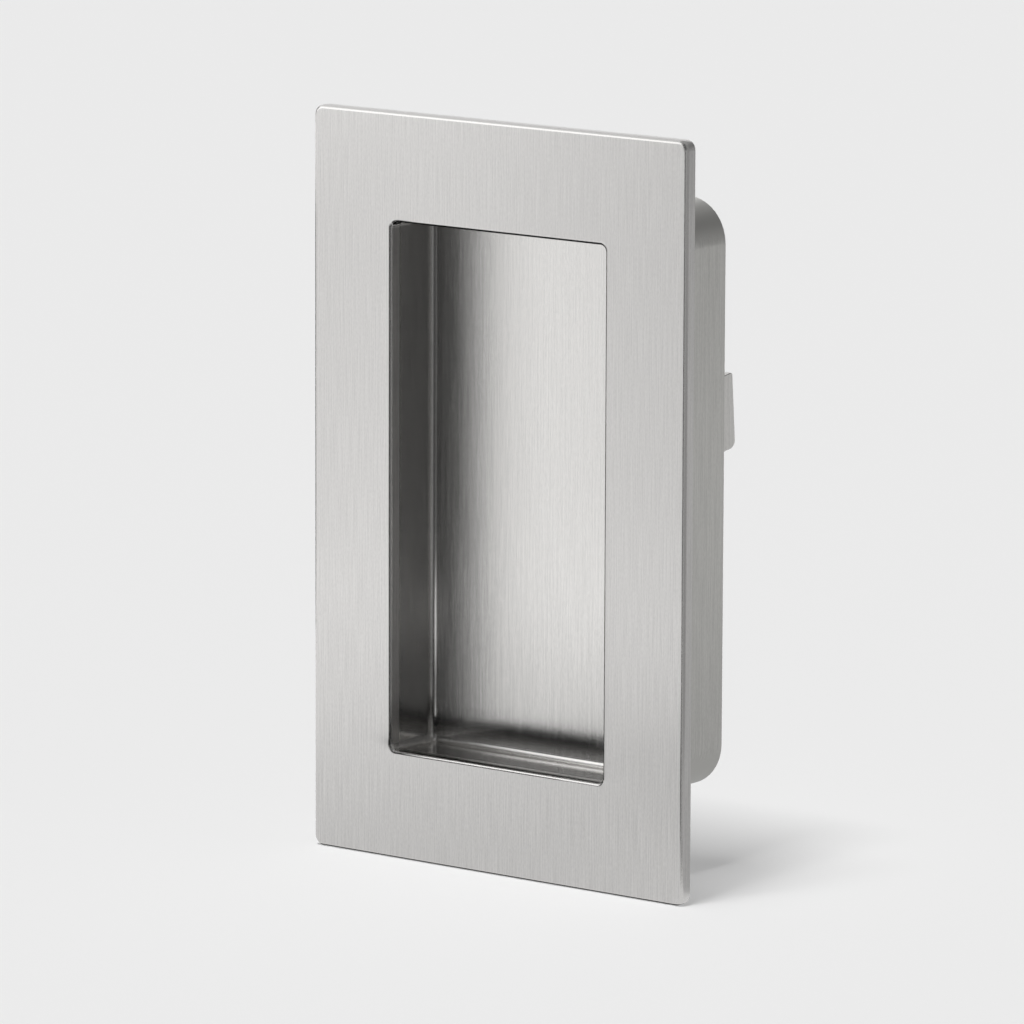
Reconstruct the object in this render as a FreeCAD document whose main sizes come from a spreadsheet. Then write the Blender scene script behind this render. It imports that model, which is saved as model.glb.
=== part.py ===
"""Rectangular flush pull for a pocket door, in brushed stainless steel.

Frame, in millimetres: the origin is the centre of the face plate's back, which lies on the door's face.
+Z is up, +Y goes into the door and -Y is the side that the hand reaches.
"""
import FreeCAD, Part
import math
import os

import Sketcher

NEAR = 1e-4
ORIGIN_POINT = (-1, 1)
ARC_CENTRE = 3
LINE_START = 1
LINE_END = 2

# Driving dimensions
SIZES = {
    "plate_width": 74.0,
    "plate_height": 120.0,
    "plate_thickness": 2.2,
    "plate_corner_radius": 1.6,
    "plate_edge_radius": 0.45,
    "side_rim": 15.75,
    "end_rim": 17.5,
    "opening_edge_radius": 0.65,
    "pan_setback": 0.1,
    "pan_depth": 8.7,
    "pan_wall": 0.8,
    "pan_bend_radius": 1.0,
    "corner_ease": 0.2,
    "housing_side_room": 1.2,
    "housing_end_room": 2.8,
    "housing_depth": 25.3,
    "housing_wall": 1.0,
    "housing_corner_radius": 7.2,
    "housing_edge_radius": 0.4,
    "groove_depth": 0.6,
    "groove_clearance": 0.1,
    "flange_clearance": 0.2,
    "lug_width": 8.0,
    "lug_foot_height": 6.85,
    "lug_height": 12.2,
    "lug_foot_reach": 3.3,
    "lug_head_reach": 2.4,
    "lug_rake": 9.0,
    "lug_foot_radius": 1.2,
    "lug_head_radius": 0.6,
}

doc = FreeCAD.newDocument("pocket_door_pull")
sheet = doc.addObject("Spreadsheet::Sheet", "Sizes")
for row, (alias, value) in enumerate(SIZES.items(), start=1):
    sheet.set(f"A{row}", alias)
    sheet.set(f"B{row}", str(value))
    sheet.setAlias(f"B{row}", alias)
doc.recompute()


def new_body(name):
    """Add an empty body whose label names its file."""
    body = doc.addObject("PartDesign::Body", name)
    body.Label = name
    body.Placement = FreeCAD.Placement()
    return body


def new_sketch(body, name, plane):
    """Add a sketch on one of the body's own origin planes."""
    sketch = body.newObject("Sketcher::SketchObject", name)
    support = next(item for item in body.Origin.OriginFeatures if item.Role == plane)
    sketch.AttachmentSupport = [(support, "")]
    sketch.MapMode = "FlatFace"
    return sketch


def bind(sketch, index, name, expression):
    """Name a sketch constraint and drive it from the sheet."""
    sketch.renameConstraint(index, name)
    sketch.setExpression(f"Constraints.{name}", expression)


def value_of(expression):
    """Give the present number of an expression over the sheet."""
    return float(sheet.evalExpression(expression))


def rounded_rectangle(sketch, name, outline):
    """Draw a rectangle with round corners, centred on the sketch's origin, from an outline's expressions."""
    width, height, radius = outline
    half_width = value_of(width) / 2
    half_height = value_of(height) / 2
    corner = value_of(radius)
    right = half_width - corner
    top = half_height - corner
    corners = ((right, top, 0), (-right, top, 90), (-right, -top, 180), (right, -top, 270))
    arcs = []
    for x, z, start in corners:
        circle = Part.Circle(FreeCAD.Vector(x, z, 0), FreeCAD.Vector(0, 0, 1), corner)
        quarter = Part.ArcOfCircle(circle, math.radians(start), math.radians(start + 90))
        arcs.append(sketch.addGeometry(quarter))
    lines = []
    for index in range(4):
        begin = sketch.getPoint(arcs[index], LINE_END)
        end = sketch.getPoint(arcs[(index + 1) % 4], LINE_START)
        lines.append(sketch.addGeometry(Part.LineSegment(begin, end)))
    for index in range(4):
        arc, line, next_arc = arcs[index], lines[index], arcs[(index + 1) % 4]
        sketch.addConstraint(Sketcher.Constraint("Tangent", arc, LINE_END, line, LINE_START))
        sketch.addConstraint(Sketcher.Constraint("Tangent", line, LINE_END, next_arc, LINE_START))
    for index, level in enumerate(("Horizontal", "Vertical", "Horizontal", "Vertical")):
        sketch.addConstraint(Sketcher.Constraint(level, lines[index]))
    for index in range(1, 4):
        sketch.addConstraint(Sketcher.Constraint("Equal", arcs[0], arcs[index]))
    sketch.addConstraint(
        Sketcher.Constraint("Symmetric", arcs[0], ARC_CENTRE, arcs[2], ARC_CENTRE, *ORIGIN_POINT))
    across = Sketcher.Constraint(
        "DistanceX", lines[1], LINE_START, lines[3], LINE_END, 2 * half_width)
    bind(sketch, sketch.addConstraint(across), f"{name}_width", width)
    upward = Sketcher.Constraint(
        "DistanceY", lines[2], LINE_START, lines[0], LINE_END, 2 * half_height)
    bind(sketch, sketch.addConstraint(upward), f"{name}_height", height)
    rounding = Sketcher.Constraint("Radius", arcs[0], corner)
    bind(sketch, sketch.addConstraint(rounding), f"{name}_radius", radius)


def add_pad(body, name, sketch, length, backward):
    """Pad a sketch by an expression, into the door when backward is true."""
    pad = body.newObject("PartDesign::Pad", name)
    pad.Profile = sketch
    pad.Reversed = backward
    pad.setExpression("Length", length)
    doc.recompute()
    return pad


def add_pocket(body, name, sketch, length, backward):
    """Cut a sketch, into the door when backward is true, and check that it took material away."""
    before = body.Shape.Volume
    pocket = body.newObject("PartDesign::Pocket", name)
    pocket.Profile = sketch
    pocket.Reversed = not backward
    pocket.setExpression("Length", length)
    doc.recompute()
    if body.Shape.Volume > before - NEAR:
        raise RuntimeError(f"{name} cut nothing")
    return pocket


def add_fillet(body, name, base, chosen, radius):
    """Round the edges of a feature that the test picks."""
    edges = [f"Edge{index}" for index, edge in enumerate(base.Shape.Edges, start=1) if chosen(edge)]
    if not edges:
        raise RuntimeError(f"{name} found no edge")
    fillet = body.newObject("PartDesign::Fillet", name)
    fillet.Base = (base, edges)
    fillet.setExpression("Radius", radius)
    doc.recompute()
    return fillet


def lies_at_depth(edge, depth):
    """Tell whether an edge lies wholly in the plane at a depth along Y."""
    box = edge.BoundBox
    return abs(box.YMin - depth) < NEAR and abs(box.YMax - depth) < NEAR


def lies_within(edge, width, height):
    """Tell whether an edge lies inside a centred rectangle, with a little room."""
    box = edge.BoundBox
    across = max(abs(box.XMin), abs(box.XMax))
    upward = max(abs(box.ZMin), abs(box.ZMax))
    return across < width / 2 + NEAR and upward < height / 2 + NEAR


def grown(outline, growth):
    """Give an outline's width, height and corner radius, each set out all round by an expression."""
    width, height, radius = outline
    return f"{width} + 2 * ({growth})", f"{height} + 2 * ({growth})", f"{radius} + {growth}"


# Outlines from the opening outwards: each is a width, a height and a corner radius
PLATE = ("Sizes.plate_width", "Sizes.plate_height", "Sizes.plate_corner_radius")
OPENING = (
    "Sizes.plate_width - 2 * Sizes.side_rim",
    "Sizes.plate_height - 2 * Sizes.end_rim",
    "Sizes.pan_bend_radius + Sizes.corner_ease",
)
PAN_INSIDE = grown(OPENING, "Sizes.pan_setback")
PAN_OUTSIDE = grown(PAN_INSIDE, "Sizes.pan_wall")
HOUSING_INSIDE = (
    f"{PAN_OUTSIDE[0]} + 2 * Sizes.housing_side_room",
    f"{PAN_OUTSIDE[1]} + 2 * Sizes.housing_end_room",
    "Sizes.housing_corner_radius - Sizes.housing_wall",
)
HOUSING_OUTSIDE = grown(HOUSING_INSIDE, "Sizes.housing_wall")

# Face plate: a blanked plate with its opening, both rounded over on the front, and a groove in its back
face_plate = new_body("face_plate")
plate_blank = new_sketch(face_plate, "plate_blank", "XZ_Plane")
rounded_rectangle(plate_blank, "plate", PLATE)
rounded_rectangle(plate_blank, "opening", OPENING)
plate_pad = add_pad(face_plate, "plate_pad", plate_blank, "Sizes.plate_thickness", False)
front = -value_of("Sizes.plate_thickness")
opening_width = value_of(OPENING[0])
opening_height = value_of(OPENING[1])
plate_edge = add_fillet(
    face_plate, "plate_edge", plate_pad,
    lambda edge: lies_at_depth(edge, front) and not lies_within(edge, opening_width, opening_height),
    "Sizes.plate_edge_radius")
opening_edge = add_fillet(
    face_plate, "opening_edge", plate_edge,
    lambda edge: lies_at_depth(edge, front) and lies_within(edge, opening_width, opening_height),
    "Sizes.opening_edge_radius")
groove_outline = new_sketch(face_plate, "groove_outline", "XZ_Plane")
rounded_rectangle(groove_outline, "outer", grown(HOUSING_OUTSIDE, "Sizes.groove_clearance"))
rounded_rectangle(groove_outline, "inner", grown(HOUSING_INSIDE, "-Sizes.groove_clearance"))
housing_groove = add_pocket(face_plate, "housing_groove", groove_outline, "Sizes.groove_depth", False)

# Recess pan: a drawn pan behind the opening, with a flange against the back of the plate
recess_pan = new_body("recess_pan")
pan_blank = new_sketch(recess_pan, "pan_blank", "XZ_Plane")
rounded_rectangle(pan_blank, "outside", PAN_OUTSIDE)
pan_form = add_pad(recess_pan, "pan_form", pan_blank, "Sizes.pan_depth + Sizes.pan_wall", True)
pan_back = value_of("Sizes.pan_depth + Sizes.pan_wall")
pan_heel = add_fillet(
    recess_pan, "pan_heel", pan_form,
    lambda edge: lies_at_depth(edge, pan_back),
    "Sizes.pan_bend_radius + Sizes.pan_wall")
pan_flange_outline = new_sketch(recess_pan, "pan_flange_outline", "XZ_Plane")
rounded_rectangle(pan_flange_outline, "flange", grown(HOUSING_INSIDE, "-Sizes.flange_clearance"))
pan_flange = add_pad(recess_pan, "pan_flange", pan_flange_outline, "Sizes.pan_wall", True)
pan_inside = new_sketch(recess_pan, "pan_inside", "XZ_Plane")
rounded_rectangle(pan_inside, "inside", PAN_INSIDE)
pan_hollow = add_pocket(recess_pan, "pan_hollow", pan_inside, "Sizes.pan_depth", True)
pan_floor = value_of("Sizes.pan_depth")
pan_bend = add_fillet(
    recess_pan, "pan_bend", pan_hollow,
    lambda edge: lies_at_depth(edge, pan_floor),
    "Sizes.pan_bend_radius")

# Rear housing: a deep box with round corners, closed at the back, its rim in the plate's groove
rear_housing = new_body("rear_housing")
housing_outline = new_sketch(rear_housing, "housing_outline", "XZ_Plane")
housing_outline.setExpression("AttachmentOffset.Base.z", "Sizes.groove_depth")
rounded_rectangle(housing_outline, "outside", HOUSING_OUTSIDE)
housing_form = add_pad(
    rear_housing, "housing_form", housing_outline, "Sizes.housing_depth + Sizes.groove_depth", True)
housing_inside = new_sketch(rear_housing, "housing_inside", "XZ_Plane")
housing_inside.setExpression("AttachmentOffset.Base.z", "Sizes.groove_depth")
rounded_rectangle(housing_inside, "inside", HOUSING_INSIDE)
housing_hollow = add_pocket(
    rear_housing, "housing_hollow", housing_inside,
    "Sizes.housing_depth + Sizes.groove_depth - Sizes.housing_wall", True)
housing_back = value_of("Sizes.housing_depth")
housing_edge = add_fillet(
    rear_housing, "housing_edge", housing_hollow,
    lambda edge: lies_at_depth(edge, housing_back),
    "Sizes.housing_edge_radius")

# Locating lug: a raked block on the flat of the housing's back, from the flat's right edge inwards
locating_lug = new_body("locating_lug")
lug_profile = new_sketch(locating_lug, "lug_profile", "YZ_Plane")
lug_end = f"({HOUSING_OUTSIDE[0]}) / 2 - Sizes.housing_edge_radius"
lug_profile.setExpression("AttachmentOffset.Base.z", lug_end)
foot = value_of("Sizes.lug_foot_height")
head = value_of("Sizes.lug_foot_height + Sizes.lug_height")
foot_reach = value_of("Sizes.lug_foot_reach")
head_reach = value_of("Sizes.lug_head_reach")
lug_corners = [
    FreeCAD.Vector(housing_back, foot, 0),
    FreeCAD.Vector(housing_back + foot_reach, foot, 0),
    FreeCAD.Vector(housing_back + head_reach, head, 0),
    FreeCAD.Vector(housing_back, head, 0),
]
lug_lines = []
for index, corner in enumerate(lug_corners):
    following = lug_corners[(index + 1) % 4]
    lug_lines.append(lug_profile.addGeometry(Part.LineSegment(corner, following)))
for index in range(4):
    meeting = Sketcher.Constraint(
        "Coincident", lug_lines[index], LINE_END, lug_lines[(index + 1) % 4], LINE_START)
    lug_profile.addConstraint(meeting)
foot_line, face_line, head_line, seat_line = lug_lines
lug_profile.addConstraint(Sketcher.Constraint("Vertical", seat_line))
lug_profile.addConstraint(Sketcher.Constraint("Parallel", foot_line, head_line))
seat_depth = Sketcher.Constraint("DistanceX", *ORIGIN_POINT, foot_line, LINE_START, housing_back)
bind(lug_profile, lug_profile.addConstraint(seat_depth), "seat_depth", "Sizes.housing_depth")
foot_height = Sketcher.Constraint("DistanceY", *ORIGIN_POINT, foot_line, LINE_START, foot)
bind(lug_profile, lug_profile.addConstraint(foot_height), "foot_height", "Sizes.lug_foot_height")
lug_height = Sketcher.Constraint("DistanceY", foot_line, LINE_START, seat_line, LINE_START, head - foot)
bind(lug_profile, lug_profile.addConstraint(lug_height), "seat_height", "Sizes.lug_height")
foot_run = Sketcher.Constraint("DistanceX", foot_line, LINE_START, foot_line, LINE_END, foot_reach)
bind(lug_profile, lug_profile.addConstraint(foot_run), "foot_reach", "Sizes.lug_foot_reach")
head_run = Sketcher.Constraint("DistanceX", head_line, LINE_END, head_line, LINE_START, head_reach)
bind(lug_profile, lug_profile.addConstraint(head_run), "head_reach", "Sizes.lug_head_reach")
rake = Sketcher.Constraint("Angle", foot_line, 0.0)
bind(lug_profile, lug_profile.addConstraint(rake), "rake", "Sizes.lug_rake * 1 deg")
lug_block = add_pad(locating_lug, "lug_block", lug_profile, "Sizes.lug_width", True)
lug_middle = value_of("Sizes.lug_foot_height + Sizes.lug_height / 2")


def is_lug_rim(edge):
    """Tell whether an edge of the lug runs across it, clear of its seat."""
    box = edge.BoundBox
    return box.YMin > housing_back + NEAR and box.YMax - box.YMin < NEAR


lug_foot = add_fillet(
    locating_lug, "lug_foot", lug_block,
    lambda edge: is_lug_rim(edge) and edge.BoundBox.ZMax < lug_middle,
    "Sizes.lug_foot_radius")
lug_head = add_fillet(
    locating_lug, "lug_head", lug_foot,
    lambda edge: is_lug_rim(edge) and edge.BoundBox.ZMin > lug_middle,
    "Sizes.lug_head_radius")

# Check every object, then write one file for each piece
pieces = [face_plate, recess_pan, rear_housing, locating_lug]
doc.recompute()
for item in doc.Objects:
    if {"Invalid", "Error"} & set(item.State):
        raise RuntimeError(f"{item.Name} failed: {item.State}")
for piece in pieces:
    if piece.Shape.isNull() or not piece.Shape.isValid():
        raise RuntimeError(f"{piece.Label} has no valid shape")
os.makedirs("parts", exist_ok=True)
for piece in pieces:
    piece.Shape.exportStep(f"parts/{piece.Label}.step")
    box = piece.Shape.BoundBox
    print(piece.Label, len(piece.Shape.Solids), round(piece.Shape.Volume, 2), box)
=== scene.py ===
"""Looks of a rectangular flush pull for a pocket door, in brushed stainless steel.

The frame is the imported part's own, in metres: the origin is the centre of the face plate's back, +Z is
up, +Y goes into the door and -Y is the side that the hand reaches. The pieces are modelled in
millimetres and scaled to metres when they are finished.
"""

import logging
import math
from dataclasses import dataclass, field
from enum import Enum

import bmesh
import bpy
from bmesh.types import BMEdge, BMesh
from mathutils import Matrix, Vector


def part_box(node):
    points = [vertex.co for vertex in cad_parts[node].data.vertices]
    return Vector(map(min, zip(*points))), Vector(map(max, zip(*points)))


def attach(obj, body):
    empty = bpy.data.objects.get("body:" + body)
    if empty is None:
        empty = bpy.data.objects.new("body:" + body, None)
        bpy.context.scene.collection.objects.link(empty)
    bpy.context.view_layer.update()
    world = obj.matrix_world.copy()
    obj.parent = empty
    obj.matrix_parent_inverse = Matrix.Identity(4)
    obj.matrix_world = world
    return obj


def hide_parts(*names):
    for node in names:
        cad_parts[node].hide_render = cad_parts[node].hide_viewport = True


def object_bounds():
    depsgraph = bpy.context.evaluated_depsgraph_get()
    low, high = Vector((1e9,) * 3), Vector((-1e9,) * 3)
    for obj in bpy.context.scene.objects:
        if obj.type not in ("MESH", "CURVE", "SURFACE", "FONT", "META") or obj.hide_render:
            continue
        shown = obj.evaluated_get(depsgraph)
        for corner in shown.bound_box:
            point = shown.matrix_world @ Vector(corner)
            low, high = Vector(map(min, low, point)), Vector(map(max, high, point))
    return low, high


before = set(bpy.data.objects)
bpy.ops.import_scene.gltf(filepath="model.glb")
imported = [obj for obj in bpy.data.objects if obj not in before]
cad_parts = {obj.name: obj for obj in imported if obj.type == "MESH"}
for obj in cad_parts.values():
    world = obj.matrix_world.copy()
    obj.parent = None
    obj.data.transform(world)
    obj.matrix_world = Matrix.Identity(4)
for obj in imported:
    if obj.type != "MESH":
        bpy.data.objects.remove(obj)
cad_box = [list(corner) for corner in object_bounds()]
log = logging.getLogger("pocket_door_pull")

MM = 0.001
BODY = "root"
SMOOTH_ANGLE = math.radians(30)
ROUND_PROFILE = 0.5
SAME_MATERIAL = -1
WHITE = (1.0, 1.0, 1.0, 1.0)
# Points closer than this, in millimetres, are one corner
SAME_PLACE = 0.01
# A face looks along an axis when that part of its unit normal is larger than this
LOOKS_ALONG = 0.72
# The brushed lines rise and fall about this height
MID_HEIGHT = 0.5

Colour = tuple[float, float, float]
Point = tuple[float, float, float]
Input = float | tuple[float, ...] | bpy.types.NodeSocket


class Grain(Enum):
    """How the brushing runs over a piece."""

    UPRIGHT = "up the walls, and front to back on level faces"
    ROUND_THE_WALL = "along the bent wall, and up the closed back"


class Nodes:
    """A small helper that adds and links shader nodes."""

    def __init__(self, tree: bpy.types.NodeTree) -> None:
        """Start from an empty node tree."""
        self.tree = tree
        tree.nodes.clear()

    def add(self, kind: str, settings: dict[str, str] | None = None, **inputs: Input) -> bpy.types.Node:
        """Add a node, set its properties and fill its inputs.

        Args:
            kind: The node's type name.
            settings: Properties of the node itself, such as its operation.
            inputs: Values or output sockets for its inputs, by name with _ for a space, or by number as
                in0, in1 and so on.

        Returns:
            The new node.
        """
        node = self.tree.nodes.new(kind)
        for name, value in (settings or {}).items():
            setattr(node, name, value)
        for name, value in inputs.items():
            numbered = name.startswith("in") and name[2:].isdigit()
            socket = node.inputs[int(name[2:])] if numbered else node.inputs[name.replace("_", " ")]
            if isinstance(value, bpy.types.NodeSocket):
                self.tree.links.new(value, socket)
            else:
                socket.default_value = value
        return node

    def math(self, operation: str, *values: Input) -> bpy.types.NodeSocket:
        """Add a Math node and give its result."""
        inputs = {f"in{index}": value for index, value in enumerate(values)}
        return self.add("ShaderNodeMath", {"operation": operation}, **inputs).outputs[0]

    def vector_math(self, operation: str, *values: Input) -> bpy.types.NodeSocket:
        """Add a Vector Math node and give its vector result."""
        inputs = {f"in{index}": value for index, value in enumerate(values)}
        return self.add("ShaderNodeVectorMath", {"operation": operation}, **inputs).outputs[0]

    def map_range(self, value: Input, low: Input = 0.0, high: Input = 1.0, to_low: Input = 0.0,
                  to_high: Input = 1.0) -> bpy.types.NodeSocket:
        """Add a Map Range node, from low and high to to_low and to_high, and give its result."""
        return self.add("ShaderNodeMapRange", Value=value, From_Min=low, From_Max=high, To_Min=to_low,
                        To_Max=to_high).outputs["Result"]


@dataclass(frozen=True)
class BrushedSteel:
    """Stainless steel brushed in one direction, with a satin sheen across the grain.

    Attributes:
        name: The material's name.
        tone: The steel's mean colour.
        grain: How the brushing runs.
        roughness: How matt the faces that look along Y are.
        wall_roughness: How matt the other flat faces are.
        edge_roughness: How matt the rounded edges are.
        anisotropy: How far the sheen spreads across the grain.
        line_width: How wide a brushed line is.
        line_length: How long a brushed line is.
        fleck_width: How wide a short fleck is.
        fleck_length: How long a short fleck is.
        fleck_share: The flecks' share of the pattern.
        noise_roughness: How strong the pattern's finer layers are.
        contrast: The part of the pattern's range that is stretched to the whole.
        edge_blend: The squareness over which a rounded edge passes into a flat face.
        tone_swing: How much the tone varies, as a share of itself.
        roughness_swing: How much the roughness varies.
        line_depth: How deep the lines are.
    """

    name: str
    tone: Colour
    grain: Grain
    roughness: float = 0.31
    wall_roughness: float = 0.31
    edge_roughness: float = 0.26
    anisotropy: float = 0.83
    line_width: float = 0.22 * MM
    line_length: float = 11.0 * MM
    fleck_width: float = 0.20 * MM
    fleck_length: float = 0.7 * MM
    fleck_share: float = 0.35
    noise_roughness: float = 0.6
    contrast: tuple[float, float] = (0.36, 0.64)
    edge_blend: tuple[float, float] = (0.95, 0.995)
    tone_swing: float = 0.10
    roughness_swing: float = 0.02
    line_depth: float = 0.003 * MM

    def make(self) -> bpy.types.Material:
        """Build the node material.

        Returns:
            A metal whose tone, gloss and relief follow the brushed lines on its flat faces.
        """
        material = bpy.data.materials.new(self.name)
        material.use_nodes = True
        nodes = Nodes(material.node_tree)
        normal = nodes.add("ShaderNodeNewGeometry").outputs["Normal"]
        facing = nodes.add("ShaderNodeSeparateXYZ", in0=normal)
        place = nodes.add("ShaderNodeTexCoord").outputs["Object"]
        lines = self.streaks(nodes, place, facing, self.line_width, self.line_length, detail=2.0)
        flecks = self.streaks(nodes, place, facing, self.fleck_width, self.fleck_length, detail=1.0)
        line_part = nodes.math("MULTIPLY", lines, 1.0 - self.fleck_share)
        mixed = nodes.math("MULTIPLY_ADD", flecks, self.fleck_share, line_part)
        flatness = nodes.map_range(self.squareness(nodes, facing), *self.edge_blend)
        swing = nodes.math("MULTIPLY", flatness, MID_HEIGHT)
        lowest = nodes.math("SUBTRACT", MID_HEIGHT, swing)
        highest = nodes.math("ADD", MID_HEIGHT, swing)
        height = nodes.map_range(mixed, *self.contrast, lowest, highest)
        dark = tuple(channel * (1.0 - self.tone_swing) for channel in self.tone) + (1.0,)
        light = tuple(min(1.0, channel * (1.0 + self.tone_swing)) for channel in self.tone) + (1.0,)
        colour = nodes.add("ShaderNodeMix", {"data_type": "RGBA"}, in0=height, in6=dark, in7=light)
        is_wall = nodes.math("LESS_THAN", nodes.math("ABSOLUTE", facing.outputs["Y"]), LOOKS_ALONG)
        on_flats = nodes.map_range(is_wall, to_low=self.roughness, to_high=self.wall_roughness)
        middle = nodes.map_range(flatness, to_low=self.edge_roughness, to_high=on_flats)
        swung = nodes.math("SUBTRACT", height, MID_HEIGHT)
        gloss = nodes.math("MULTIPLY_ADD", swung, 2 * self.roughness_swing, middle)
        relief = nodes.add("ShaderNodeBump", Strength=1.0, Distance=self.line_depth, Height=height)
        steel = nodes.add(
            "ShaderNodeBsdfPrincipled",
            Base_Color=colour.outputs[2],
            Metallic=1.0,
            Roughness=gloss,
            Anisotropic=self.anisotropy,
            Tangent=self.across_grain(nodes, facing),
            Normal=relief.outputs["Normal"],
        )
        nodes.add("ShaderNodeOutputMaterial", Surface=steel.outputs["BSDF"])
        return material

    def squareness(self, nodes: Nodes, facing: bpy.types.Node) -> bpy.types.NodeSocket:
        """Give the largest part of the normal: 1 on flat faces, less on rounded edges.

        Args:
            nodes: The material's node helper.
            facing: The node that holds the surface normal's parts.

        Returns:
            A value socket.
        """
        sizes = [nodes.math("ABSOLUTE", facing.outputs[axis]) for axis in "XYZ"]
        return nodes.math("MAXIMUM", sizes[0], nodes.math("MAXIMUM", sizes[1], sizes[2]))

    def across_grain(self, nodes: Nodes, facing: bpy.types.Node) -> bpy.types.NodeSocket:
        """Give the direction across the brushed lines, which the sheen spreads along.

        Args:
            nodes: The material's node helper.
            facing: The node that holds the surface normal's parts.

        Returns:
            A vector socket: Y on the side walls, and on all walls where the grain runs round them, and X
            elsewhere.
        """
        if self.grain is Grain.UPRIGHT:
            sideways = nodes.math("GREATER_THAN", nodes.math("ABSOLUTE", facing.outputs["X"]), LOOKS_ALONG)
        else:
            sideways = nodes.math("LESS_THAN", nodes.math("ABSOLUTE", facing.outputs["Y"]), LOOKS_ALONG)
        return nodes.add("ShaderNodeMix", {"data_type": "VECTOR"},
                         in0=sideways, in4=(1.0, 0.0, 0.0), in5=(0.0, 1.0, 0.0)).outputs[1]

    def streaks(self, nodes: Nodes, place: bpy.types.NodeSocket, facing: bpy.types.Node,
                width: float, length: float, detail: float) -> bpy.types.NodeSocket:
        """Add noise that is drawn out along the grain.

        Args:
            nodes: The material's node helper.
            place: Object coordinates.
            facing: The node that holds the surface normal's parts.
            width: How wide a line is.
            length: How long a line is.
            detail: How many finer layers the noise has.

        Returns:
            A value socket from 0 to 1.
        """
        fine, long = 1.0 / width, 1.0 / length
        level_scale = (fine, long, fine) if self.grain is Grain.UPRIGHT else (long, fine, fine)
        upright = nodes.vector_math("MULTIPLY", place, (fine, fine, long))
        level = nodes.vector_math("MULTIPLY", place, level_scale)
        lies_level = nodes.math("GREATER_THAN", nodes.math("ABSOLUTE", facing.outputs["Z"]), LOOKS_ALONG)
        stretched = nodes.add("ShaderNodeMix", {"data_type": "VECTOR"}, in0=lies_level, in4=upright,
                              in5=level)
        noise = nodes.add("ShaderNodeTexNoise", Vector=stretched.outputs[1], Scale=1.0, Detail=detail,
                          Roughness=self.noise_roughness)
        return noise.outputs[0]


@dataclass(frozen=True)
class PaleBoard:
    """Matt pale board for the floor."""

    name: str = "pale_board"
    tone: Colour = (0.86, 0.86, 0.86)
    bounce_tone: Colour = (0.30, 0.30, 0.30)
    roughness: float = 0.9

    def make(self) -> bpy.types.Material:
        """Build the board's material.

        Returns:
            A matt material, darker in light that it sends to the steel and gets back.
        """
        material = bpy.data.materials.new(self.name)
        material.use_nodes = True
        nodes = Nodes(material.node_tree)
        bounced = nodes.add("ShaderNodeLightPath").outputs["Diffuse Depth"]
        tone = nodes.add("ShaderNodeMix", {"data_type": "RGBA"}, in0=bounced, in6=(*self.tone, 1.0),
                         in7=(*self.bounce_tone, 1.0))
        board = nodes.add("ShaderNodeBsdfPrincipled", Base_Color=tone.outputs[2], Roughness=self.roughness,
                          Specular_IOR_Level=0.0)
        nodes.add("ShaderNodeOutputMaterial", Surface=board.outputs["BSDF"])
        return material


@dataclass(frozen=True)
class Glow:
    """A glow for the cards of the set, which changes with distance and lights no matt surface.

    Attributes:
        name: The material's name.
        near: How bright it is up to the start.
        far: How bright it is from the end on.
        start: Where the change starts, as a distance from the origin.
        end: Where the change ends.
    """

    name: str
    near: float
    far: float
    start: float
    end: float

    def make(self) -> bpy.types.Material:
        """Build the glowing material.

        Returns:
            A glow that light from the floor passes through.
        """
        material = bpy.data.materials.new(self.name)
        material.use_nodes = True
        nodes = Nodes(material.node_tree)
        place = nodes.add("ShaderNodeTexCoord").outputs["Object"]
        reach = nodes.add("ShaderNodeVectorMath", {"operation": "LENGTH"}, in0=place).outputs["Value"]
        strength = nodes.map_range(reach, self.start, self.end, self.near, self.far)
        light = nodes.add("ShaderNodeEmission", Color=WHITE, Strength=strength)
        bounced = nodes.add("ShaderNodeLightPath").outputs["Diffuse Depth"]
        clear = nodes.add("ShaderNodeBsdfTransparent")
        seen = nodes.add("ShaderNodeMixShader", in0=bounced, in1=light.outputs["Emission"],
                         in2=clear.outputs["BSDF"])
        nodes.add("ShaderNodeOutputMaterial", Surface=seen.outputs["Shader"])
        return material


@dataclass(frozen=True)
class Outline:
    """A rectangle with round corners, seen from the front."""

    width: float
    height: float
    corner: float

    def grown(self, growth: float) -> "Outline":
        """Give the outline set out by a growth all round."""
        return Outline(self.width + 2 * growth, self.height + 2 * growth, self.corner + growth)


@dataclass
class Ring:
    """An outline drawn in a mesh, with its place along Y."""

    edges: list[BMEdge]
    depth: float


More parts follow.
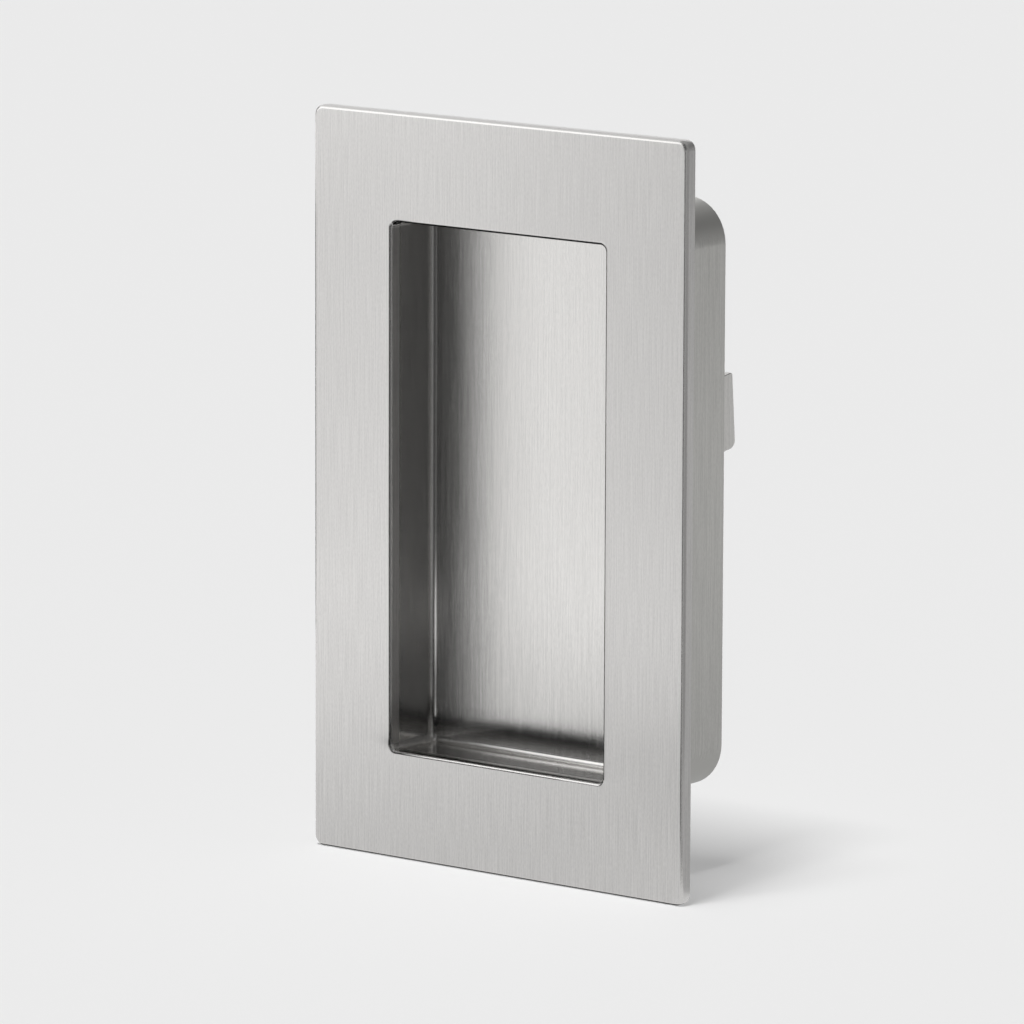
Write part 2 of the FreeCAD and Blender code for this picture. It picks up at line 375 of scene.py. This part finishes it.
class OutlineShell:
    """A closed shell whose walls run between rounded outlines at depths along Y, in millimetres."""

    def __init__(self, corner_steps: int) -> None:
        """Start an empty shell with a number of steps in each round corner."""
        self.mesh: BMesh = bmesh.new()
        self.corner_steps = corner_steps

    def ring(self, outline: Outline, depth: float) -> Ring:
        """Draw an outline: four corners, each rounded by a vertex bevel.

        Args:
            outline: The rounded rectangle.
            depth: Its place along Y.

        Returns:
            The outline's ring of edges.
        """
        half_width, half_height = outline.width / 2, outline.height / 2
        signs = ((1, 1), (-1, 1), (-1, -1), (1, -1))
        corners = [self.mesh.verts.new((x * half_width, depth, z * half_height)) for x, z in signs]
        self.mesh.faces.new(corners)
        bmesh.ops.bevel(self.mesh, geom=corners, offset=outline.corner, offset_type="OFFSET",
                        segments=self.corner_steps, profile=ROUND_PROFILE, affect="VERTICES",
                        material=SAME_MATERIAL, clamp_overlap=False)
        corner_count = 4 * (self.corner_steps + 1)
        sheet = next(face for face in self.mesh.faces if len(face.verts) == corner_count)
        edges = list(sheet.edges)
        bmesh.ops.delete(self.mesh, geom=[sheet], context="FACES_ONLY")
        return Ring(edges, depth)

    def section(self, *rings: Ring) -> None:
        """Bridge each ring to the next one.

        Args:
            rings: The shell's rings in the order of its section. Two that lie in one plane are bridged
                before the walls are, because a wall that is already there would twist them.
        """
        pairs = list(zip(rings, rings[1:]))
        for first, second in sorted(pairs, key=lambda pair: abs(pair[0].depth - pair[1].depth)):
            bmesh.ops.bridge_loops(self.mesh, edges=first.edges + second.edges)

    def close(self, ring: Ring) -> None:
        """Fill a ring with one flat face."""
        bmesh.ops.contextual_create(self.mesh, geom=ring.edges)

    def round_over(self, ring: Ring, radius: float, steps: int) -> None:
        """Round the edge that a ring makes.

        Args:
            ring: The ring to round.
            radius: The rounding's radius.
            steps: How many facets the rounding has.
        """
        bmesh.ops.recalc_face_normals(self.mesh, faces=self.mesh.faces)
        bmesh.ops.bevel(self.mesh, geom=ring.edges, offset=radius, offset_type="OFFSET", segments=steps,
                        profile=ROUND_PROFILE, affect="EDGES", material=SAME_MATERIAL, clamp_overlap=False,
                        loop_slide=True)


def box_of(node: str) -> tuple[Vector, Vector]:
    """Give the lowest and highest corner of a node, in millimetres."""
    low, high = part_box(node)
    return low / MM, high / MM


def finish_piece(name: str, shape: BMesh, material: bpy.types.Material, node: str) -> bpy.types.Object:
    """Turn a shape into a finished piece that stands for a node of the part.

    Args:
        name: The piece's name.
        shape: The closed shape, in the part's frame and in millimetres.
        material: Its finish.
        node: The node that it replaces.

    Returns:
        The piece's object.
    """
    bmesh.ops.recalc_face_normals(shape, faces=shape.faces)
    bmesh.ops.scale(shape, vec=(MM, MM, MM), verts=shape.verts)
    for face in shape.faces:
        face.smooth = True
    mesh = bpy.data.meshes.new(name)
    shape.to_mesh(mesh)
    shape.free()
    mesh.set_sharp_from_angle(angle=SMOOTH_ANGLE)
    mesh.materials.append(material)
    piece = bpy.data.objects.new(name, mesh)
    bpy.context.scene.collection.objects.link(piece)
    flat_faces = piece.modifiers.new("flat_faces_stay_flat", "WEIGHTED_NORMAL")
    flat_faces.keep_sharp = True
    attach(piece, BODY)
    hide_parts(node)
    log.info("%s: %d faces, stands for %s", name, len(mesh.polygons), node)
    return piece


@dataclass
class FacePlate:
    """The flat plate that shows on the door, with its opening and the groove in its back."""

    finish: BrushedSteel
    outline: Outline = field(init=False)
    opening: Outline = field(init=False)
    front: float = field(init=False)
    corner: float = 1.6
    side_rim: float = 15.75
    end_rim: float = 17.5
    opening_corner: float = 1.2
    edge_radius: float = 0.7
    opening_edge_radius: float = 0.65
    back_edge_radius: float = 0.12
    back_edge_steps: int = 3
    groove_depth: float = 0.6
    groove_clearance: float = 0.1
    corner_steps: int = 14
    edge_steps: int = 8

    def __post_init__(self) -> None:
        """Take the plate's overall size from the frame."""
        low, high = box_of("face_plate")
        width, height = high.x - low.x, high.z - low.z
        self.front = low.y
        self.outline = Outline(width, height, self.corner)
        self.opening = Outline(width - 2 * self.side_rim, height - 2 * self.end_rim, self.opening_corner)

    def build(self, housing: "RearHousing") -> BMesh:
        """Model the plate.

        Args:
            housing: The housing whose rim sits in the groove.

        Returns:
            The plate's closed shape.
        """
        shell = OutlineShell(self.corner_steps)
        front_edge = shell.ring(self.outline, self.front)
        back_edge = shell.ring(self.outline, 0.0)
        groove_outside = housing.outside.grown(self.groove_clearance)
        groove_inside = housing.inside.grown(-self.groove_clearance)
        groove = [
            shell.ring(groove_outside, 0.0),
            shell.ring(groove_outside, -self.groove_depth),
            shell.ring(groove_inside, -self.groove_depth),
            shell.ring(groove_inside, 0.0),
        ]
        opening_back = shell.ring(self.opening, 0.0)
        opening_front = shell.ring(self.opening, self.front)
        shell.section(front_edge, back_edge, *groove, opening_back, opening_front, front_edge)
        shell.round_over(front_edge, self.edge_radius, self.edge_steps)
        shell.round_over(opening_front, self.opening_edge_radius, self.edge_steps)
        shell.round_over(back_edge, self.back_edge_radius, self.back_edge_steps)
        return shell.mesh

    def dress(self, shape: BMesh) -> bpy.types.Object:
        """Give the plate its finish and its place in the part."""
        return finish_piece("plate_brushed", shape, self.finish.make(), "face_plate")


@dataclass
class RecessPan:
    """The shallow drawn pan behind the opening, with a flange against the plate's back."""

    finish: BrushedSteel
    inside: Outline = field(init=False)
    outside: Outline = field(init=False)
    flange: Outline = field(init=False)
    back: float = field(init=False)
    setback: float = 0.1
    sheet: float = 0.8
    bend_radius: float = 1.0
    flange_corner: float = 6.0
    corner_steps: int = 14
    bend_steps: int = 12

    def __post_init__(self) -> None:
        """Take the flange and the pan's depth from the frame."""
        low, high = box_of("recess_pan")
        self.back = high.y
        self.flange = Outline(high.x - low.x, high.z - low.z, self.flange_corner)

    def build(self, plate: FacePlate) -> BMesh:
        """Model the pan.

        Args:
            plate: The plate whose opening the pan lines up with.

        Returns:
            The pan's closed shape.
        """
        self.inside = plate.opening.grown(self.setback)
        self.outside = self.inside.grown(self.sheet)
        shell = OutlineShell(self.corner_steps)
        floor = shell.ring(self.inside, self.back - self.sheet)
        mouth = shell.ring(self.inside, 0.0)
        flange_front = shell.ring(self.flange, 0.0)
        flange_back = shell.ring(self.flange, self.sheet)
        heel_top = shell.ring(self.outside, self.sheet)
        heel = shell.ring(self.outside, self.back)
        shell.section(floor, mouth, flange_front, flange_back, heel_top, heel)
        shell.close(floor)
        shell.close(heel)
        shell.round_over(floor, self.bend_radius, self.bend_steps)
        shell.round_over(heel, self.bend_radius + self.sheet, self.bend_steps)
        return shell.mesh

    def dress(self, shape: BMesh) -> bpy.types.Object:
        """Give the pan its finish and its place in the part."""
        return finish_piece("pan_brushed", shape, self.finish.make(), "recess_pan")


@dataclass
class RearHousing:
    """The deep box with round corners that goes into the door's mortise."""

    finish: BrushedSteel
    outside: Outline = field(init=False)
    inside: Outline = field(init=False)
    rim: float = field(init=False)
    back: float = field(init=False)
    wall: float = 1.0
    corner: float = 7.2
    edge_radius: float = 0.4
    corner_steps: int = 14
    edge_steps: int = 6

    def __post_init__(self) -> None:
        """Take the housing's size from the frame."""
        low, high = box_of("rear_housing")
        self.rim, self.back = low.y, high.y
        self.outside = Outline(high.x - low.x, high.z - low.z, self.corner)
        self.inside = self.outside.grown(-self.wall)

    def build(self) -> BMesh:
        """Model the housing.

        Returns:
            The housing's closed shape.
        """
        shell = OutlineShell(self.corner_steps)
        back = shell.ring(self.outside, self.back)
        rim_outside = shell.ring(self.outside, self.rim)
        rim_inside = shell.ring(self.inside, self.rim)
        floor = shell.ring(self.inside, self.back - self.wall)
        shell.section(back, rim_outside, rim_inside, floor)
        shell.close(back)
        shell.close(floor)
        shell.round_over(back, self.edge_radius, self.edge_steps)
        return shell.mesh

    def dress(self, shape: BMesh) -> bpy.types.Object:
        """Give the housing its finish and its place in the part."""
        return finish_piece("housing_brushed", shape, self.finish.make(), "rear_housing")


@dataclass
class LocatingLug:
    """The small raked lug on the housing's back."""

    finish: BrushedSteel
    foot_height: float = 6.85
    height: float = 12.2
    foot_reach: float = 3.3
    head_reach: float = 2.4
    rake: float = math.radians(9.0)
    foot_radius: float = 1.2
    head_radius: float = 0.6
    edge_break: float = 0.15
    edge_steps: int = 3
    end_steps: int = 10

    def build(self) -> BMesh:
        """Model the lug: its side as four corners, drawn out sideways, with rounded ends.

        Returns:
            The lug's closed shape.
        """
        low, high = box_of("locating_lug")
        rise = math.tan(self.rake)
        foot, head = self.foot_height, self.foot_height + self.height
        side = (
            (low.y, foot),
            (low.y + self.foot_reach, foot + rise * self.foot_reach),
            (low.y + self.head_reach, head + rise * self.head_reach),
            (low.y, head),
        )
        shape = bmesh.new()
        face = shape.faces.new([shape.verts.new((high.x, y, z)) for y, z in side])
        drawn = bmesh.ops.extrude_face_region(shape, geom=[face], use_keep_orig=True)
        moved = [item for item in drawn["geom"] if isinstance(item, bmesh.types.BMVert)]
        bmesh.ops.translate(shape, verts=moved, vec=(low.x - high.x, 0.0, 0.0))
        self.round_end(shape, side[1], self.foot_radius)
        self.round_end(shape, side[2], self.head_radius)
        crisp = [edge for edge in shape.edges if edge.calc_face_angle(0.0) > SMOOTH_ANGLE
                 and max(vert.co.y for vert in edge.verts) > low.y + self.edge_break]
        bmesh.ops.bevel(shape, geom=crisp, offset=self.edge_break, offset_type="OFFSET",
                        segments=self.edge_steps, profile=ROUND_PROFILE, affect="EDGES",
                        material=SAME_MATERIAL, clamp_overlap=True)
        return shape

    def dress(self, shape: BMesh) -> bpy.types.Object:
        """Give the lug its finish and its place in the part."""
        return finish_piece("lug_brushed", shape, self.finish.make(), "locating_lug")

    def round_end(self, shape: BMesh, corner: tuple[float, float], radius: float) -> None:
        """Round the edge that runs across the lug at a corner of its side.

        Args:
            shape: The lug's mesh.
            corner: The corner's place along Y and Z.
            radius: The rounding's radius.
        """
        place = Vector(corner)
        edges = [edge for edge in shape.edges
                 if all((vert.co.yz - place).length < SAME_PLACE for vert in edge.verts)]
        bmesh.ops.bevel(shape, geom=edges, offset=radius, offset_type="OFFSET", segments=self.end_steps,
                        profile=ROUND_PROFILE, affect="EDGES", material=SAME_MATERIAL, clamp_overlap=False)


def direction(azimuth: float, elevation: float) -> Vector:
    """Give the unit vector toward a place around the pull.

    Args:
        azimuth: Degrees from straight in front, toward the right.
        elevation: Degrees above the horizon.

    Returns:
        The vector, in the part's frame.
    """
    turn, rise = math.radians(azimuth), math.radians(elevation)
    level = math.cos(rise)
    return Vector((math.sin(turn) * level, -math.cos(turn) * level, math.sin(rise)))


@dataclass(frozen=True)
class KeyLight:
    """A strip light far overhead, a little in front, for the soft shadow and an evenly lit floor."""

    width: float = 18.0
    length: float = 41.0
    height: float = 100.0
    forward: float = 20.5
    left: float = 3.4
    brightness: float = 25.6

    def build(self) -> None:
        """Hang the light, with its power worked out from how bright its face looks."""
        light = bpy.data.lights.new("key_light", "AREA")
        light.shape = "RECTANGLE"
        light.size, light.size_y = self.width, self.length
        light.energy = self.brightness * math.pi * self.width * self.length
        lamp = bpy.data.objects.new("key_light", light)
        lamp.location = (-self.left, -self.forward, self.height)
        lamp.visible_camera = False
        lamp.visible_glossy = False
        bpy.context.scene.collection.objects.link(lamp)


@dataclass(frozen=True)
class FillLight:
    """An even light from above that lifts the shadow and casts none."""

    strength: float = 1.33

    def build(self) -> None:
        """Hang the light, which shines straight down on the set alone."""
        light = bpy.data.lights.new("fill_light", "SUN")
        light.energy = self.strength
        light.use_shadow = False
        lamp = bpy.data.objects.new("fill_light", light)
        lamp.visible_glossy = False
        bpy.context.scene.collection.objects.link(lamp)


class Stance(Enum):
    """How a card is set up, as degrees that it is tipped by."""

    UPRIGHT = 90
    FLAT = 180


@dataclass(frozen=True)
class Card:
    """A glowing or dark card that only the steel's mirror images show: a painted reflection that lights
    nothing.

    Attributes:
        name: The card's name.
        azimuth: Degrees from straight in front, toward the right.
        distance: How far its foot, or its near end where it lies flat, is from the origin.
        width: Its size across.
        length: Its height, or its reach outward where it lies flat.
        glow: How bright it is, from the end of the fade on where it has one.
        near_glow: How bright its near end is, where that differs.
        fade_end: How far from the origin the fade ends.
        rise: Its height above the floor.
        shift: How far it is moved sideways.
        slant: How much it leans sideways over its length.
        stance: Whether it stands or lies flat.
    """

    name: str
    azimuth: float
    distance: float
    width: float
    length: float
    glow: float
    near_glow: float | None = None
    fade_end: float = 1.0
    rise: float = 0.0
    shift: float = 0.0
    slant: float = 0.0
    stance: Stance = Stance.UPRIGHT

    def finish(self) -> Glow:
        """Give the card's glow, from its near edge to where the fade ends."""
        near = self.glow if self.near_glow is None else self.near_glow
        return Glow(self.name, near, self.glow, self.distance, self.fade_end)

    def shape(self, lowest: float) -> BMesh:
        """Model the card.

        Args:
            lowest: The floor's height.

        Returns:
            One face, in its place.
        """
        card = bmesh.new()
        bmesh.ops.create_grid(card, x_segments=1, y_segments=1, size=0.5)
        bmesh.ops.scale(card, vec=(self.width, self.length, 1.0), verts=card.verts)
        bmesh.ops.translate(card, verts=card.verts, vec=(0.0, self.length / 2, 0.0))
        lean = Matrix(((1, self.slant, 0), (0, 1, 0), (0, 0, 1))).to_4x4()
        bmesh.ops.transform(card, verts=card.verts, matrix=lean)
        tip = Matrix.Rotation(math.radians(self.stance.value), 3, "X")
        bmesh.ops.rotate(card, verts=card.verts, matrix=tip)
        bmesh.ops.translate(card, verts=card.verts, vec=(self.shift, -self.distance, lowest + self.rise))
        turn = Matrix.Rotation(math.radians(self.azimuth), 3, "Z")
        bmesh.ops.rotate(card, verts=card.verts, matrix=turn)
        return card


@dataclass
class Studio:
    """A pale floor under soft light, with glowing and dark cards, seen only in the steel, that paint its
    reflections.

    Attributes:
        backdrop: How bright the room is behind the pull.
        low_room: How bright the steel mirrors the room below low_sky.
        high_room: How bright the steel mirrors the room above high_sky.
        low_sky: How steep a direction is where the room starts to brighten, as its upward part.
        high_sky: How steep a direction is where the room is brightest.
        floor_reach: Half the floor's width.
        key: The main light.
        fill: The light that lifts the shadow.
        cards: The painted reflections that the steel mirrors.
    """

    backdrop: float = 0.83
    low_room: float = 0.21
    high_room: float = 0.38
    low_sky: float = 0.2
    high_sky: float = 0.8
    floor_reach: float = 6.0
    key: KeyLight = KeyLight()
    fill: FillLight = FillLight()
    cards: tuple[Card, ...] = (
        # On the left: what the face, the recess's back and the upper edges mirror
        # left_sheet dims towards the pull: painted shade that darkens the face towards its foot
        Card("left_sheet", -38.0, -0.03, 1.80, 1.83, 1.21, near_glow=0.55, fade_end=0.28, rise=0.3 * MM,
             stance=Stance.FLAT),
        Card("brow_card", -42.0, 0.15, 0.20, 0.20, 1.60, rise=0.125),
        Card("left_box", -46.0, 0.90, 0.60, 0.25, 1.6, rise=0.352),
        Card("left_wall", -95.0, 0.70, 1.10, 0.88, 0.95, rise=0.45),
        Card("left_flag", -105.0, 0.22, 0.44, 0.08, 0.03),
        # Behind on the left: what the plate's top mirrors
        Card("back_box", -142.0, 1.00, 0.90, 0.56, 1.00, rise=0.13),
        # In front and on the right: what the recess's left wall and the plate's right edge mirror
        Card("right_flag", 48.0, 0.16, 0.76, 0.50, 0.05),
        Card("front_flag", -4.0, 0.24, 0.14, 0.50, 0.36),
        Card("side_flag", 86.0, 0.14, 0.168, 0.50, 0.30),
        # edge_card is a small glowing card beside the plate's right edge: a painted highlight along that
        # edge
        Card("edge_card", 70.8, 48.7 * MM, 14.0 * MM, 122.0 * MM, 0.40),
        Card("right_mat", -38.0, -0.03, 0.13, 0.14, 0.02, rise=0.4 * MM, shift=0.125, stance=Stance.FLAT),
        # Behind on the right: what the right sides and the housing's corner mirror
        # side_mat dims towards the pull: painted shade on the right sides and the housing's corner towards
        # their foot
        Card("side_mat", 142.0, 0.03, 0.80, 2.00, 0.59, near_glow=0.44, fade_end=0.35, rise=0.2 * MM,
             stance=Stance.FLAT),
        Card("rear_card", 152.0, 0.80, 0.80, 0.75, 0.21, near_glow=0.38, fade_end=0.88),
        # Close by: dark sheets that paint the shade lines and bands round the opening, in the recess and
        # at the foot
        Card("lip_band_shade", 0.0, 2.6 * MM, 33.0 * MM, 8.4 * MM, 0.0, rise=17.4 * MM, shift=-4.0 * MM,
             slant=-0.78, stance=Stance.FLAT),
        Card("lip_shade", 0.0, 0.05 * MM, 40.0 * MM, 1.45 * MM, 0.0, rise=17.95 * MM, stance=Stance.FLAT),
        Card("lip_edge_shade", 0.0, 1.5 * MM, 40.0 * MM, 0.35 * MM, 0.0, rise=17.45 * MM),
        Card("mouth_side_shade", -90.0, 21.25 * MM, 3.0 * MM, 84.0 * MM, 0.02, rise=18.0 * MM, shift=3.9 * MM),
        Card("mouth_corner_shade", -90.0, 21.25 * MM, 4.4 * MM, 2.6 * MM, 0.0, rise=17.5 * MM, shift=4.6 * MM),
        Card("foot_contact_shade", 0.0, 0.0, 76.0 * MM, 6.0 * MM, 0.03, rise=0.02 * MM, stance=Stance.FLAT),
        Card("top_edge_shade", 0.0, -0.2 * MM, 42.0 * MM, 3.1 * MM, 0.0, rise=101.9 * MM, stance=Stance.FLAT),
        Card("right_edge_shade", 90.0, 20.5 * MM, 2.6 * MM, 84.0 * MM, 0.0, rise=18.0 * MM, shift=-1.7 * MM),
    )

    def build(self, lowest: float) -> None:
        """Lay the floor, set up the cards and light the room.

        Args:
            lowest: The height of the surface that the pull stands on.
        """
        floor = bmesh.new()
        bmesh.ops.create_grid(floor, x_segments=1, y_segments=1, size=self.floor_reach)
        bmesh.ops.translate(floor, verts=floor.verts, vec=(0.0, 0.0, lowest))
        self.stage_piece("floor", floor, PaleBoard().make())
        for card in self.cards:
            piece = self.stage_piece(card.name, card.shape(lowest), card.finish().make())
            piece.visible_camera = False
            piece.visible_diffuse = False
            piece.visible_shadow = False
        self.key.build()
        self.fill.build()
        self.light_room()
        bpy.context.scene.view_settings.view_transform = "Standard"

    def light_room(self) -> None:
        """Give the room a pale backdrop, which the steel mirrors as a dim room, brighter overhead."""
        world = bpy.data.worlds.new("room")
        bpy.context.scene.world = world
        world.use_nodes = True
        nodes = Nodes(world.node_tree)
        outward = nodes.add("ShaderNodeTexCoord").outputs["Generated"]
        toward = nodes.add("ShaderNodeSeparateXYZ", in0=outward)
        mirrored = nodes.add("ShaderNodeMapRange", {"interpolation_type": "SMOOTHSTEP"},
                             Value=toward.outputs["Z"], From_Min=self.low_sky, From_Max=self.high_sky,
                             To_Min=self.low_room, To_Max=self.high_room)
        ray = nodes.add("ShaderNodeLightPath")
        seen = nodes.math("MULTIPLY", ray.outputs["Is Camera Ray"], self.backdrop)
        level = nodes.math("MULTIPLY_ADD", ray.outputs["Is Glossy Ray"], mirrored.outputs["Result"], seen)
        light = nodes.add("ShaderNodeBackground", Color=WHITE, Strength=level)
        nodes.add("ShaderNodeOutputWorld", Surface=light.outputs["Background"])

    def stage_piece(self, name: str, shape: BMesh, material: bpy.types.Material) -> bpy.types.Object:
        """Add a piece of the set, which isn't part of the pull.

        Args:
            name: The piece's name.
            shape: Its mesh.
            material: What it is made of.

        Returns:
            The piece's object.
        """
        mesh = bpy.data.meshes.new(name)
        shape.to_mesh(mesh)
        shape.free()
        mesh.materials.append(material)
        piece = bpy.data.objects.new(name, mesh)
        bpy.context.scene.collection.objects.link(piece)
        return piece


@dataclass(frozen=True)
class PhotoCamera:
    """A long lens from the front right, a little above the pull."""

    target: Point = (3.222 * MM, -2.2 * MM, -1.254 * MM)
    azimuth: float = 37.987
    elevation: float = 9.860
    roll: float = math.radians(0.207)
    distance: float = 1265.2 * MM
    lens: float = 283.5
    sensor: float = 36.0
    reach: float = 100.0

    def build(self) -> None:
        """Set up the camera and make it the scene's own."""
        camera = bpy.data.cameras.new("photo_camera")
        camera.lens = self.lens
        camera.sensor_width = self.sensor
        camera.clip_end = self.reach
        outward = direction(self.azimuth, self.elevation)
        turn = (-outward).to_track_quat("-Z", "Y").to_matrix() @ Matrix.Rotation(self.roll, 3, "Z")
        holder = bpy.data.objects.new("photo_camera", camera)
        place = Matrix.Translation(Vector(self.target) + outward * self.distance)
        holder.matrix_world = place @ turn.to_4x4()
        bpy.context.scene.collection.objects.link(holder)
        bpy.context.scene.camera = holder


def write_sizes() -> None:
    """Bring the view layer up to date."""
    bpy.context.view_layer.update()


def main() -> None:
    """Build the pull, then the set, the light and the camera."""
    logging.basicConfig(level=logging.INFO)
    # The pieces are one steel; their tones differ to set how light or dark each looks, which is painted
    # light and shade
    plate = FacePlate(BrushedSteel("plate_steel", (0.70, 0.69, 0.678), Grain.UPRIGHT, edge_roughness=0.25))
    housing = RearHousing(BrushedSteel("housing_steel", (0.625, 0.62, 0.597), Grain.ROUND_THE_WALL,
                                       edge_roughness=0.31, anisotropy=0.45))
    pan = RecessPan(BrushedSteel("pan_steel", (0.736, 0.726, 0.711), Grain.ROUND_THE_WALL, roughness=0.22,
                                 wall_roughness=0.09, edge_roughness=0.20, anisotropy=1.0))
    lug = LocatingLug(BrushedSteel("lug_steel", (0.75, 0.74, 0.72), Grain.UPRIGHT))
    plate.dress(plate.build(housing))
    pan.dress(pan.build(plate))
    housing.dress(housing.build())
    lug.dress(lug.build())
    Studio().build(lowest=cad_box[0][2])
    PhotoCamera().build()
    write_sizes()


if __name__ == "__main__":
    main()
